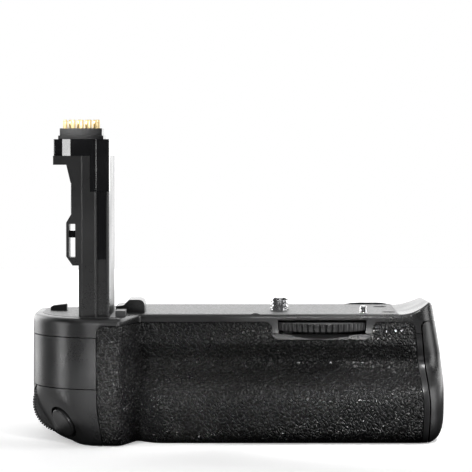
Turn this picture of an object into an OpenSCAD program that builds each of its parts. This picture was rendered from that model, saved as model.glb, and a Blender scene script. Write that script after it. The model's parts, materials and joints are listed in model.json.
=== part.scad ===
// Camera battery grip: a moulded hand grip that screws under a camera, with a tower that
// fills the camera's battery chamber and a tray for two batteries that draws out of one end.
// The frame: X along the grip, -Y to the front, +Z up, origin on the tripod socket's mouth.

/* [Body] */
// Room at the shutter end, before the battery tray starts
control_room = 16.5; // [16:0.25:19]
// Room at the tray end, for the end cap
cap_room = 5.7; // [5.4:0.1:7]
// Distance from the clamp screw to the tray end
screw_inset = 55.2; // [54:0.2:58]
// Height of the deck's face above the base
deck_z = 43; // [42.5:0.5:46]
// Distance from the clamp screw forward to the deck's front edge
deck_front = 20; // [19:0.5:22]
// Distance from the clamp screw back to the deck's rear edge
deck_rear = 29.5; // [29:0.25:31]
// Thickness of the deck plate
deck_t = 1.6; // [1.2:0.1:2]
// How far the shutter block stands forward of the clamp screw
block_front = 40; // [38:0.5:43]
// How far the palm roll stands forward of the clamp screw
palm_front = 33; // [31:0.5:36]
// How far forward of the clamp screw the finger channel's floor lies
channel_front = 18; // [17.5:0.25:19]
// Wall thickness of the moulded shells
wall = 2.2; // [1.8:0.1:2.4]
// Gap at the parting lines
seam = 0.3; // [0.2:0.05:0.4]
// Thickness of the bonded rubber
rubber_t = 1.2; // [0.9:0.1:1.5]
// Lean of the tray end, in degrees
end_lean = 9.6; // [8:0.2:11]
// Rise of the horn over the deck at the tray end
horn_rise = 4; // [3:0.2:5]

/* [Clamp] */
// Diameter of the clamp screw's thread
screw_d = 6.35; // [6.3:0.05:6.4]
// How far the clamp screw stands out of the deck
screw_out = 4.4; // [4:0.1:5]
// Radius of the thumb wheel
wheel_r = 16; // [15:0.25:17]
// Thickness of the thumb wheel
wheel_t = 3.4; // [3:0.1:3.6]
// How far the thumb wheel stands out of the front face
wheel_out = 7.6; // [6:0.2:8]
// Number of ribs on the thumb wheel
wheel_ribs = 48; // [36:2:60]
// Teeth of the gear under the thumb wheel
wheel_teeth = 22; // [18:1:24]
// Teeth of the gear on the clamp screw
screw_teeth = 56; // [52:1:60]
// Diameter of the locating pin
pin_d = 2.5; // [2:0.1:3]
// How far the locating pin stands out of the deck
pin_out = 2.4; // [2:0.1:3]

/* [Tower] */
// Width of the tower's head
head_w = 18.6; // [18:0.2:20]
// Depth of the tower, front to back
tower_d = 36; // [32:0.5:38]
// Height of the head's top above the deck
tower_h = 58.9; // [57:0.5:61]
// Width of the tower's column
column_w = 10.2; // [9.6:0.2:11]
// Number of contact pins in each of the two rows
pins_per_row = 5; // [4:1:6]
// Diameter of a contact pin
contact_d = 1.5; // [1.2:0.1:1.6]
// Stroke of the contact pins
contact_stroke = 1.4; // [1:0.1:1.6]

/* [Controls] */
// Diameter of the shutter button
shutter_d = 10.2; // [9:0.2:11]
// Stroke of the shutter button
shutter_stroke = 1.2; // [0.8:0.1:1.4]
// Radius of the control dial
dial_r = 10.5; // [10.2:0.1:10.8]
// Thickness of the control dial
dial_t = 5.4; // [4.5:0.1:5.6]
// Number of ribs on the control dial
dial_ribs = 72; // [60:1:80]
// Diameter of a rear button
button_d = 5.8; // [5:0.2:6.4]
// Stroke of a rear button
button_stroke = 0.8; // [0.5:0.1:1]
// Travel of the power slider
slider_travel = 3; // [2:0.25:3.5]

/* [Battery tray] */
// Length of one battery
battery_l = 57; // [56:0.5:57]
// Width of one battery
battery_w = 38.8; // [38:0.2:39]
// Thickness of one battery
battery_t = 21; // [20:0.2:21.4]
// Travel of the end cap's latch
latch_travel = 2; // [1.5:0.1:2.2]

/* [Hidden] */

// Colours
black_plastic = [0.10, 0.10, 0.10];
black_rubber = [0.05, 0.05, 0.05];
gloss_black = [0.02, 0.02, 0.02];
grey_plastic = [0.20, 0.20, 0.20];
steel = [0.75, 0.75, 0.76];
gold = [0.85, 0.68, 0.30];
green_board = [0.05, 0.25, 0.12];

// Small clearances
fit = 0.1;
slip = 0.3;
glue = 0.05;
eps = 0.01;

// Ends of the body and the levels of its parting lines
tray_l = 2 * battery_l + 2.8;
body_w = control_room + tray_l + cap_room;
x_left = screw_inset - body_w;
x_right = screw_inset;
deck_low = deck_z - deck_t;
rim_z = deck_z - 0.1;
part_z = deck_low - 5;
control_z = 19.4;
seam_z = 13;
lean_z = 25;
lean_bend = 14;
lean = tan(end_lean);

// Plan of the shutter end: an elliptic nose in front and a rounder heel behind
nose_run = 25.8;
nose_flat = 12;
heel_run = 12;
heel_drop = 16;
toe_run = 17;
toe_rise = 15;
crown_r = 1.2;
horn_r = 1.8;
// Rounding of the tray end, seen from above and from the front
end_run = 9;
end_foot_run = 6;
end_foot_rise = 7;

// Stations along the body where one form changes to the next
ridge_x = x_left + 29.3;
valley_x = ridge_x + 8;
palm_x = ridge_x + 18.5;
horn_x = x_right - 12.2;
deck_end_x = x_right - 15.3;
slope_x = x_left + 21.8;
thumb_x = x_left + 17.8;
nub_x = x_right - 63.6;

// Heights of the front face's turns
band_z = part_z - 3;
channel_z = 25.5;
palm_z = 15.5;
band_front = deck_front + 2;
valley_front = 25;
shoulder_z = deck_low - 6;
rear_face = deck_rear + 2;
slope_rear = 16;
thumb_bump = 3;

function ease(a, b, x) = let (t = min(1, max(0, (x - a) / (b - a)))) t * t * (3 - 2 * t);
function mix(a, b, t) = a + (b - a) * t;
function drop(t) = 1 - sqrt(max(0, 1 - pow(min(1, max(0, t)), 2)));

// How far each rounding has run at station x
function nose_drop(x) = drop((x_left + nose_run - x) / nose_run);
function heel_fall(x) = heel_drop * drop((x_left + heel_run - x) / heel_run);
function end_fall(x) = end_run * drop((x - x_right + end_run) / end_run);
function foot_rise(x) = toe_rise * drop((x_left + toe_run - x) / toe_run)
    + end_foot_rise * drop((x - x_right + end_foot_run) / end_foot_run);
function crown_fall(x) = crown_r * drop((x_left + crown_r - x) / crown_r)
    + horn_r * drop((x - x_right + horn_r) / horn_r);

// Share of the shutter block's form at station x, and how full the palm roll is
function block_share(x) = 1 - ease(ridge_x, valley_x, x);
function palm_share(x) = 1 - pow(min(1, max(0, (palm_x - x) / (palm_x - valley_x + 2))), 3);
function slope_share(x) = 1 - ease(slope_x, slope_x + 10, x);
function block_y(x) = nose_flat + (block_front - nose_flat) * (1 - nose_drop(x));
function front_y(x, flank, draft) = mix(flank, block_y(x) - draft, block_share(x)) - end_fall(x);
function horn_z(x) = x < horn_x ? 0
    : horn_rise * pow(min(1, (x - horn_x) / (x_right - 1 - horn_x)), 2);
function rear_y(x) = rear_face - heel_fall(x) - end_fall(x) * 0.7;
function deck_rear_y(x) = mix(deck_rear + 1, slope_rear, slope_share(x)) - heel_fall(x) * 0.5
    - end_fall(x) * 0.7;
function thumb_y(x) = thumb_bump * ease(thumb_x, thumb_x + 10, x)
    * (1 - ease(thumb_x + 16, thumb_x + 28, x));

// How much further a skin reaches along Y where the front runs steeply across it
function front_slope(x) = (front_y(x + 0.3, band_front, 0) - front_y(x - 0.3, band_front, 0)) / 0.6;
function stretch(x) = min(2.6, norm([1, front_slope(x)]));

// Corners of the section at station x, drawn in by d: [y, z, setback of the rounding]
function corners(x, d) = let (
    df = d * stretch(x),
    top = rim_z + horn_z(x) - crown_fall(x),
    rear_top = rim_z + horn_z(x) * 0.72 - crown_fall(x),
    low = foot_rise(x) + d,
    palm = mix(valley_front, palm_front, palm_share(x))
) [
    [df - front_y(x, deck_front + 0.8, 1.5), top, mix(1.2, 2.6, block_share(x))],
    [df - front_y(x, band_front, 0.8), band_z, 3],
    [df - front_y(x, channel_front, 0.2), channel_z, 6],
    [df - front_y(x, palm, 0), palm_z, 7.5],
    [df - front_y(x, palm - 1.5, 0.8), low, 7],
    [rear_y(x) - d, low, 5],
    [rear_y(x) + thumb_y(x) - d, mix(low, shoulder_z, 0.5), 8],
    [rear_y(x) - d, shoulder_z, 4],
    [deck_rear_y(x) - d, rear_top, 2]
];

// A corner rounded by a parabola that starts and ends a setback away along its two sides
function rounded(p, steps) = let (n = len(p)) [
    for (i = [0 : n - 1]) let (
        c = [p[i][0], p[i][1]],
        a = [p[(i + n - 1) % n][0], p[(i + n - 1) % n][1]] - c,
        b = [p[(i + 1) % n][0], p[(i + 1) % n][1]] - c,
        from = c + a * min(0.45, p[i][2] / norm(a)),
        to = c + b * min(0.45, p[i][2] / norm(b))
    ) for (s = [0 : steps]) let (t = s / steps)
        from * (1 - t) * (1 - t) + c * 2 * t * (1 - t) + to * t * t
];

// Leans a point of the tray end over, further the nearer it lies to that end
function lean_shift(z) = let (t = max(0, z - lean_z + lean_bend / 2))
    lean * (t < lean_bend ? t * t / 2 / lean_bend : t - lean_bend / 2);
function leaned(x, y, z) = [x - lean_shift(z) * ease(x_right - 25.2, x_right - 5.2, x), y, z];

// Stations: close together where the form turns, far apart along the palm roll
function spread(n, run) = [for (i = [0 : n]) run * (1 - cos(90 * i / n))];
function stations(n) = let (end = spread(n - 2, x_right - horn_x - 1)) concat(
    [for (s = spread(n, nose_run)) x_left + s],
    [for (x = [ridge_x : 24 / n : palm_x + 2]) x],
    [for (x = [palm_x + 10 : 14 : x_right - 25]) x],
    [x_right - 19.2, x_right - 15.2, horn_x],
    [for (i = [n - 2 : -1 : 0]) x_right - end[i]]
);

// The body's outer form, drawn in by d: one section after another along the grip
module body_form(d = 0, n = 9, steps = 4) {
    xs = stations(n);
    shifts = [for (x = xs) d * (1 - ease(0, 16, x - x_left) - ease(x_right - 12, x_right, x))];
    rings = [for (i = [0 : len(xs) - 1]) let (x = xs[i], xd = x + shifts[i])
        [for (p = rounded(corners(x, d), steps)) leaned(xd, p[0], p[1])]];
    m = len(rings[0]);
    last = len(rings) - 1;
    polyhedron(
        points = [for (r = rings) each r],
        faces = concat(
            [[for (j = [0 : m - 1]) j]],
            [for (i = [0 : last - 1], j = [0 : m - 1]) each [
                [i * m + j, (i + 1) * m + j, i * m + (j + 1) % m],
                [i * m + (j + 1) % m, (i + 1) * m + j, (i + 1) * m + (j + 1) % m]]],
            [[for (j = [m - 1 : -1 : 0]) last * m + j]]
        )
    );
}

// A moulded skin is taken whole, before any bore is cut in it
module moulded() resize([0, 0, 0]) children();

// A box given by its two far corners
module block(a, b) translate(a) cube(b - a);

// A front-view outline run through the grip from y0 to y1
module through(y0, y1) translate([0, y1, 0]) rotate([90, 0, 0]) linear_extrude(y1 - y0) children();

// An upright prism with round corners, from a to b
module pillar(a, b, r) translate([0, 0, a[2]]) linear_extrude(b[2] - a[2]) {
    for (x = [a[0] + r, b[0] - r], y = [a[1] + r, b[1] - r]) translate([x, y]) circle(r, $fn = 48);
    translate([a[0] + r, a[1]]) square([b[0] - a[0] - 2 * r, b[1] - a[1]]);
    translate([a[0], a[1] + r]) square([b[0] - a[0], b[1] - a[1] - 2 * r]);
}

module rod(r, z0, z1, fn = 48) translate([0, 0, z0]) cylinder(r = r, h = z1 - z0, $fn = fn);

// Outlines of the moulded parts, seen from the front
cap_x = x_right - cap_room + 0.5;
cap_lean = 0.09;
cap_top = part_z + 4;
rubber_top = part_z + 3.9;
rubber_left = x_left + 22.8;
rubber_back = -14;
control_back = 12;

module cap_outline(g) offset(delta = g) offset(r = 2, $fn = 24) offset(delta = -2) polygon([
    [cap_x - cap_lean * (cap_top - seam_z), cap_top], [cap_x, seam_z], [cap_x - 1, -9],
    [x_right + 20, -9], [x_right + 20, cap_top]]);
module control_outline(g) offset(delta = g) polygon([
    [x_left - 9, -9], [rubber_left + 3, -9], [rubber_left + 1.4, 5], [rubber_left + 0.3, 12],
    [rubber_left, control_z], [x_left - 9, control_z]]);
module rubber_outline(g) offset(delta = g) offset(r = 2.4, $fn = 24) offset(r = -4.8, $fn = 24)
    offset(r = 2.4, $fn = 24) difference() {
        polygon([
            [rubber_left, rubber_top], [rubber_left, control_z], [rubber_left + 0.3, 12],
            [rubber_left + 1.4, 5], [rubber_left + 3, -9], [cap_x - 3.2, -9], [cap_x - 2.4, seam_z],
            [cap_x - 2.4 - cap_lean * (rubber_top - seam_z), rubber_top]]);
        translate([wheel_x - lip_w / 2, part_z - 2]) square([lip_w, 20]);
    }
module thumb_outline(g) offset(delta = g) offset(r = 5, $fn = 24) offset(delta = -5)
    polygon([[thumb_x - 1, 8], [thumb_x + 23, 8], [thumb_x + 21, shoulder_z - 3],
        [thumb_x + 2, shoulder_z - 3]]);

// Clamp drive: the wheel's axis lies where its rim stands out of the front and clears the screw
screw_r = screw_d / 2;
rim_gap = 3.55;
wheel_y = wheel_r - band_front - wheel_out;
gear_span = wheel_r + rim_gap;
wheel_x = sqrt(gear_span * gear_span - wheel_y * wheel_y);
wheel_z = part_z + 0.5;
window_r = wheel_r + 0.6;
lip_w = 2 * sqrt(window_r * window_r - pow(wheel_r - wheel_out, 2)) + 5.2;
gear_mod = 2 * gear_span / (wheel_teeth + screw_teeth);
gear_z = wheel_z - 3;
axle_r = 2;
shank_r = 2.5;
mesh_angle = atan2(-wheel_y, -wheel_x);
pin_at = [deck_end_x - 11.5, -12.2];
deck_screw_at = [[deck_end_x - 4.3, 15.5], [deck_end_x - 2.8, -10.3]];

// Battery tunnel and tray
tray_y = 5.9;
tray_w = battery_w + 1.4;
tray_z = 7.2;
tray_h = battery_t + 2.4;
tray_start = x_left + control_room;
tray_end = tray_start + tray_l;
tunnel_z = tray_z + tray_h + slip;
chassis_w = tray_w + 2 * 0.2 + 2.4;
chassis_x = tray_start - 2.7;
chassis_top = tunnel_z + 1.3;
chassis_low = tray_z - slip - 1.3;
chassis_end = cap_x - 5;

// Slanted seat of the shutter button, dial and rear panel
facet_at = [x_left + 11.4, 10 - block_front, 7.6];
facet_turn = [0, 118.8, 216.5];
dial_at = [x_left + 10.8, 20.7 - block_front, 13.4];
panel_x = x_left + 7.5;
panel_at = [panel_x, rear_y(panel_x), 21.2];
panel_turn = 28;
panel_h = 27.5;
panel_w = 10;
panel_t = 2.2;
button_r = button_d / 2;
button_rows = [9.4, 1.9, -5.6];
slider_row = -11.2;

module on_facet() translate(facet_at) rotate(facet_turn) children();
module on_dial() translate(dial_at) rotate([90, 0, 0]) children();
module on_panel() translate(panel_at) rotate([0, 0, panel_turn]) rotate([-90, 0, 0]) children();

module facet_cut() on_facet() translate([-40, -40, 0]) cube([80, 80, 40]);
module panel_box(g, depth) on_panel()
    pillar([-panel_w / 2 - g, -panel_h / 2 - g, -depth], [panel_w / 2 + g, panel_h / 2 + g, 20], 2 + g);

// Recess that the rubber is bonded into
module rubber_bed() difference() {
    union() {
        through(-70, rubber_back) rubber_outline(seam / 2);
        through(10, 70) thumb_outline(seam / 2);
    }
    body_form(rubber_t + glue);
}

module lower_housing() color(black_plastic) moulded() {
    difference() {
        body_form();
        translate([-200, -100, part_z - seam / 2]) cube([400, 200, 50]);
        body_form(wall, 9, 2);
        through(-70, 70) cap_outline(seam);
        through(-70, control_back + seam) control_outline(seam / 2);
        rubber_bed();
        panel_box(fit, 20);
        pillar([plate_l, plate_f, -1], [plate_r, plate_b, plate_t], 6);
        rod(bush_r + fit, -1, 9);
        for (p = base_screw_at) translate(p) rod(3, -1, 9, 24);
        on_dial() rod(dial_r + 0.5, -dial_t / 2 - slip, dial_t / 2 + slip, 64);
        translate([wheel_x, wheel_y, 0]) rod((wheel_teeth / 2 + 1) * gear_mod + 0.5, gear_z - 0.5, 60);
    }
    for (p = base_screw_at) translate(p) difference() {
        rod(3.2, plate_t, chassis_low, 24);
        rod(1.2, -1, 4.8, 16);
    }
}

module upper_housing() color(black_plastic) moulded() {
    difference() {
        body_form();
        translate([-200, -100, part_z + seam / 2 - 50]) cube([400, 200, 50]);
        intersection() {
            body_form(wall + 2, 9, 2);
            translate([-200, -100, 0]) cube([200 + deck_end_x - 1.5, 200, deck_low]);
        }
        translate([0, 0, deck_low - eps]) linear_extrude(9) offset(delta = fit) deck_outline();
        through(-70, 70) cap_outline(seam);
        rubber_bed();
        translate([wheel_x, wheel_y, 0]) rod(window_r, 0, deck_z - 2, 96);
        block([cap_x - 2.2, -4, cap_top - 1], [cap_x + 0.6, 4, cap_top + latch_travel + 0.4]);
        block([catch_x - glue, -31.5 - glue, deck_low - eps], [catch_x + 3.4 + glue, glue - 22.5, 60]);
        for (p = deck_screw_at) translate(p) rod(1.3, part_z - 1, deck_low + 1, 24);
    }
    for (p = deck_screw_at) translate(p) difference() {
        union() {
            rod(3.2, part_z + seam, deck_low, 24);
            block([0, -1.2, part_z + seam], [deck_end_x + 2 - p[0], 1.2, deck_low]);
        }
        rod(1.2, part_z, deck_low + 1, 16);
    }
    intersection() {
        translate([nub_x, -deck_front, rim_z - 2]) rotate([90, 0, 0]) rod(2.5, -0.5, 0.5);
        block([nub_x - 3, -deck_front - 1, rim_z - 1], [nub_x + 3, 1 - deck_front, rim_z + 1]);
    }
}

module control_housing() color(black_plastic) difference() {
    moulded() difference() {
        intersection() {
            body_form();
            through(-70, control_back) control_outline(-seam / 2);
        }
        facet_cut();
        intersection() {
            body_form(wall, 9, 2);
            block([x_left, -14, 0], [0, 60, 60]);
        }
    }
    block([chassis_x - 0.5, rubber_back - 2.2, chassis_low - 0.5], [0, 60, 60]);
    on_dial() rod(dial_r + 0.5, -dial_t / 2 - slip, dial_t / 2 + slip, 96);
    on_dial() rod(1.02, -20, dial_t / 2 + 2.5);
    on_facet() rod(shutter_d / 2 + 0.6, -3, 9);
    on_facet() rod(6.45, -4.45, -1.2);
    on_facet() rod(3.2, -8.45, -1.2);
}

plate_t = 1.6;
bush_r = 5.5;
plate_l = x_left + 39.8;
plate_r = x_right - 15.2;
plate_f = -12;
plate_b = 24;
base_screw_at = [for (x = [plate_l + 6, plate_r - 6], y = [plate_f + 3, plate_b - 4]) [x, y]];
module base_plate() color(black_plastic) difference() {
    pillar([plate_l + fit, plate_f + fit, 0], [plate_r - fit, plate_b - fit, plate_t - glue], 6 - fit);
    rod(bush_r + glue, -1, 9);
    for (p = base_screw_at) translate(p) {
        rod(1.25, -1, 9);
        translate([0, 0, -eps]) cylinder(r1 = 2.3, r2 = 1.25, h = 1.05, $fn = 48);
    }
}

module base_screws() color(steel) for (p = base_screw_at) translate(p) {
    translate([0, 0, 0.1]) cylinder(r1 = 2.15, r2 = 1.1, h = 1.05, $fn = 48);
    rod(1.1, 0.5, 4.4);
}

module tripod_bush() color(steel) difference() {
    union() {
        rod(bush_r, 0, 5.4);
        rod(8, wall + glue, wall + 1.4);
    }
    rod(screw_r, -1, 4.9);
}

// Plan of the deck plate: the body's top edge drawn in
function deck_inset(x) = mix(1.6, 3, block_share(x)) * mix(1, stretch(x), ease(ridge_x - 6, ridge_x, x));
function deck_edge(x) = front_y(x, deck_front + 0.8, 1.5) - deck_inset(x);
deck_xs = concat([for (s = spread(7, nose_run)) x_left + 3 + s],
    [for (x = [ridge_x + 1 : 2 : valley_x + 0.5]) x], [deck_end_x]);
module deck_outline() polygon(concat(
    [for (x = deck_xs) [x, -deck_edge(x - 3 * ease(ridge_x, x_left, x))]],
    [for (i = [len(deck_xs) - 1 : -1 : 0]) let (x = deck_xs[i])
        [x, deck_rear_y(x - 3 * ease(ridge_x, x_left, x)) - 1.8]]));
module top_deck() color(black_plastic) difference() {
    translate([0, 0, deck_low]) linear_extrude(deck_t) deck_outline();
    block([column_l - fit, tower_f - fit, 0], [column_r + fit, tower_b + fit, 99]);
    rod(screw_r + 0.2, 0, 99);
    translate(pin_at) rod(pin_d / 2 + 0.42, 0, 99);
    for (p = deck_screw_at) translate(p) {
        rod(1.25, 0, 99);
        rod(2.35, deck_z - 1, 99);
    }
    translate([0, 0, deck_low - 9]) linear_extrude(30) {
        translate([hook_x - glue, -2 - glue]) square([5.7 + 2 * glue, 4 + 2 * glue]);
        translate([hinge_x - 2.6 - glue, -13.6 - glue]) square([9.8 + 2 * glue, 14 + 2 * glue]);
        translate([catch_x - glue, -31.5 - glue]) square([3.4 + 2 * glue, 9 + 2 * glue]);
    }
}

module deck_screws() color(steel) for (p = deck_screw_at) translate(p) {
    difference() {
        rod(2.2, deck_z - 1, deck_z - 0.3);
        block([-1.6, -0.25, deck_z - 0.6], [1.6, 0.25, deck_z]);
        block([-0.25, -1.6, deck_z - 0.6], [0.25, 1.6, deck_z]);
    }
    rod(1.1, deck_low - 3.5, deck_z - 1);
}

module front_rubber() color(black_rubber) moulded() intersection() {
    difference() {
        body_form();
        body_form(rubber_t);
    }
    through(-70, rubber_back - seam) rubber_outline(-seam / 2);
}

module rear_rubber() color(black_rubber) moulded() intersection() {
    difference() {
        body_form();
        body_form(rubber_t);
    }
    through(10, 70) thumb_outline(-seam / 2);
}

// Tunnel for the tray, with the wheel's boss on top and standoffs for the board at its inner end
module chassis() color(grey_plastic) difference() {
    union() {
        block([chassis_x, tray_y - chassis_w / 2, chassis_low],
            [chassis_end, tray_y + chassis_w / 2, chassis_top]);
        translate([wheel_x, wheel_y, 0]) rod(4, chassis_top - 1, gear_z - 0.2);
        for (y = [-6, 15], z = [11, 30]) translate([chassis_x + eps, y, z])
            rotate([0, -90, 0]) rod(1.6, 0, 2);
    }
    block([chassis_x + 1.2, tray_y - chassis_w / 2 + 1.2, tray_z - slip],
        [chassis_end + 9, tray_y + chassis_w / 2 - 1.2, tunnel_z]);
    translate([wheel_x, wheel_y, 0]) rod(axle_r + 0.02, chassis_top, 60);
    rod(4.02, tunnel_z - 1, 60);
}

module screw_bush() color(gold) difference() {
    union() {
        rod(4, tunnel_z + 0.05, chassis_top);
        rod(5.2, chassis_top, chassis_top + 1.2);
    }
    rod(shank_r + 0.05, 0, 60);
}

module wheel_axle() color(steel) translate([wheel_x, wheel_y, 0]) rod(axle_r, chassis_top, deck_low - fit);

// A ring of ribs: flat tops with sloping sides
module ribbed(r, depth, count) polygon([for (i = [0 : count - 1]) each [
    for (s = [[-0.5, 1], [-0.32, 0], [0.32, 0], [0.5, 1]]) let (a = (i + s[0]) * 360 / count)
        (r - depth * s[1]) * [cos(a), sin(a)]]]);

module clamp_wheel() color(black_plastic) translate([wheel_x, wheel_y, wheel_z]) difference() {
    linear_extrude(wheel_t) ribbed(wheel_r, 0.75, wheel_ribs);
    rod(axle_r + 0.06, -1, 9);
    difference() {
        rod(wheel_r - wheel_out - 1, wheel_t - 1.1, 9, 96);
        rod(4.5, 0, 9);
    }
}

// Involute spur gear
function involute(rb, r) = let (t = sqrt(max(0, r * r / rb / rb - 1))) t * 180 / PI - atan(t);
function flank(n, m, r) = let (rp = n * m / 2, rb = rp * cos(20))
    90 / n - 0.08 / rp * 180 / PI + involute(rb, rp) - involute(rb, max(r, rb));
module spur(n, m) polygon([for (i = [0 : n - 1]) let (rp = n * m / 2) each concat(
    [for (r = [rp - 1.2 * m, rp - 0.5 * m, rp, rp + 0.9 * m]) let (a = i * 360 / n - flank(n, m, r))
        r * [cos(a), sin(a)]],
    [for (r = [rp + 0.9 * m, rp, rp - 0.5 * m, rp - 1.2 * m]) let (a = i * 360 / n + flank(n, m, r))
        r * [cos(a), sin(a)]])]);

module wheel_gear() color(grey_plastic) translate([wheel_x, wheel_y, gear_z]) difference() {
    rotate(mesh_angle) linear_extrude(3) spur(wheel_teeth, gear_mod);
    rod(axle_r + 0.06, -1, 9);
}

module screw_gear() color(steel) difference() {
    translate([0, 0, gear_z]) rotate(mesh_angle + 180 + 180 / screw_teeth) linear_extrude(2.7)
        spur(screw_teeth, gear_mod);
    rod(shank_r + 0.02, 0, 60);
}

module clamp_screw() color(steel) {
    rod(shank_r, tunnel_z + 0.3, deck_low - 0.8);
    rod(4.4, deck_low - 0.8, deck_low - fit);
    rod(screw_r - 0.3, deck_low - fit, deck_z + glue);
    rod(screw_r, deck_z + glue, deck_z + screw_out - 0.7);
    translate([0, 0, deck_z + screw_out - 0.7])
        cylinder(r1 = screw_r, r2 = screw_r - 0.7, h = 0.7, $fn = 48);
}

module locating_pin() color(steel) translate(pin_at) {
    rod(2.3, deck_low - 0.7, deck_low);
    rod(pin_d / 2 + 0.4, deck_low, deck_z - glue);
    rod(pin_d / 2, deck_z - glue, deck_z + pin_out - 0.5);
    translate([0, 0, deck_z + pin_out - 0.5])
        cylinder(r1 = pin_d / 2, r2 = pin_d / 2 - 0.5, h = 0.5, $fn = 48);
}

// Small pieces that stand in pockets of the deck
hook_x = x_left + 4.9;
hinge_x = x_left + 30.6;
catch_x = x_left + 28.7;
module deck_hook() color(black_plastic) through(-2, 2) polygon([
    [hook_x, deck_low], [hook_x + 5.7, deck_low], [hook_x + 5.7, deck_z + 2.2],
    [hook_x + 1.1, deck_z + 1.7], [hook_x, deck_z + 1.1]]);
module hinge_block() color(black_plastic) through(-13.6, 0.4) {
    translate([hinge_x + 5.2, deck_z + 2.4]) circle(2, $fn = 48);
    polygon([
        [hinge_x - 2.6, deck_low], [hinge_x + 7.2, deck_low], [hinge_x + 7.2, deck_z + 2.4],
        [hinge_x + 5.2, deck_z + 4.4], [hinge_x + 2, deck_z + 4.4], [hinge_x, deck_z + 2.5],
        [hinge_x - 2.6, deck_z + 2.2]]);
}
module deck_catch() color(grey_plastic)
    block([catch_x, -31.5, deck_low], [catch_x + 3.4, -22.5, deck_z + 1.9]);

// Tower: levels are heights above the deck, read up the column
tower_f = 7 - block_front;
tower_b = tower_f + tower_d;
column_r = x_left + 26.8;
column_l = column_r - column_w;
head_l = column_r - head_w;
holder_z = deck_z + 17;
ledge_z = deck_z + tower_h - 8.5;
cap_z = deck_z + tower_h - 5.5;
leg_z = deck_z + tower_h - 17.4;
head_z = deck_z + tower_h;
strip_z = deck_z + 19;
leg_w = 6.4;
leg_d = 6;
holder_d = 9;
groove_x = column_r - 4;
groove_w = 3;
// The tower's front comes forward in two steps, and the head's far corner is set back
step_in = 0.6;
step_out = 0.5;
head_set = 2.8;
step_l = column_l + 1.4;
step_r = column_l + 5.9;

module tower_front() polygon([
    [column_l - 20, tower_f - 9], [step_r, tower_f - 9], [step_r, tower_f],
    [step_r - step_in, tower_f + step_in],
    [step_l, tower_f + step_in], [step_l - step_out, tower_f + step_in + step_out],
    [column_l - 20, tower_f + step_in + step_out]]);
module head_front() polygon([
    [head_l - 9, tower_f - 9], [step_r, tower_f - 9], [step_r, tower_f],
    [step_r - step_in, tower_f + step_in],
    [head_l + 3.1 + head_set, tower_f + step_in], [head_l + 3.1, tower_f + step_in + head_set],
    [head_l - 9, tower_f + step_in + head_set]]);

module tower_core(z0, z1) pillar([column_l + 2, tower_f + 2.4, z0], [column_r - 2, tower_b - 2.4, z1], 1);

module tower_column() color(black_plastic) difference() {
    union() {
        pillar([column_l, tower_f, deck_low], [column_r, tower_b, cap_z], 1.3);
        block([column_l + 1, tower_f + 5, deck_low - 0.5], [column_r - 1, tower_b - 1, deck_low + 1]);
        block([column_l - 1, tower_f + 5, deck_low - 2], [column_r + 1, tower_b + 1.5, deck_low - glue]);
        pillar([column_l - 2.6, tower_f + 0.6, holder_z + 16], [column_r - 2, tower_b, cap_z], 1.3);
        pillar([head_l, tower_f, ledge_z], [column_r, tower_b, cap_z], 1.3);
        through(tower_f + 1, tower_f + holder_d) polygon([
            [column_l + 1, holder_z], [column_l - 2, holder_z], [column_l - 4.1, holder_z + 3],
            [column_l - 4.1, holder_z + 14.2], [column_l - 2.6, holder_z + 16.8],
            [column_l + 1, holder_z + 16.8]]);
        through(tower_f + 1, tower_b - 2) polygon([
            [column_l - 2.6, ledge_z - 6], [column_l - 4, ledge_z + eps], [column_l + 1, ledge_z + eps],
            [column_l + 1, ledge_z - 6]]);
    }
    tower_core(deck_low - 9, head_z);
    block([column_l - 3.2, tower_f - 9, holder_z + 2.8],
        [column_l - 1.1, tower_f + holder_d + 1, holder_z + 13.8]);
    block([groove_x, tower_f - 9, deck_low], [groove_x + groove_w, tower_f + 1, cap_z]);
    translate([0, 0, deck_z]) linear_extrude(cap_z - deck_z) tower_front();
    block([column_r - leg_w, tower_f - 9, leg_z], [99, tower_f + leg_d, cap_z + 1]);
}

module tower_cap() color(gloss_black) difference() {
    union() {
        pillar([head_l, tower_f, cap_z], [column_r, tower_b, head_z], 1.6);
        block([column_r - leg_w + glue, tower_f + 1.6, leg_z + glue],
            [column_r, tower_f + leg_d - glue, cap_z]);
        pillar([column_r - leg_w + glue, tower_f, leg_z + glue],
            [column_r, tower_f + leg_d - glue, cap_z], 1.3);
    }
    tower_core(cap_z - 40, head_z - 1.6);
    translate([0, 0, leg_z - 1]) linear_extrude(40) head_front();
    block([column_l + 3, tower_f + 12, cap_z], [column_l + 6, tower_f + 22, head_z + 1]);
}

module tower_strip() color(gloss_black) block([groove_x + glue, tower_f + 0.2, strip_z],
    [groove_x + groove_w - glue, tower_f + 1 - glue, leg_z - glue]);

module door_clip() color(black_plastic) block([column_l - 3.2, tower_f + 3, holder_z + 9.2],
    [column_l - 1.1, tower_f + 7, holder_z + 11.6]);

module tower_flex() color(gold) through(tower_f + 13, tower_f + 21) polygon([
    [chassis_x - 2.4, 33.4], [chassis_x - 2.4, 36], [column_l + 4.2, 36],
    [column_l + 4.2, head_z - glue], [column_l + 4.5, head_z - glue], [column_l + 4.5, 35.7],
    [chassis_x - 2.1, 35.7], [chassis_x - 2.1, 33.4]]);

// Spring contacts on the tower's head
base_l = head_l + 1.6;
base_w = 15;
pin_pitch = (base_w - 4.2) / (pins_per_row - 1);
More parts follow.
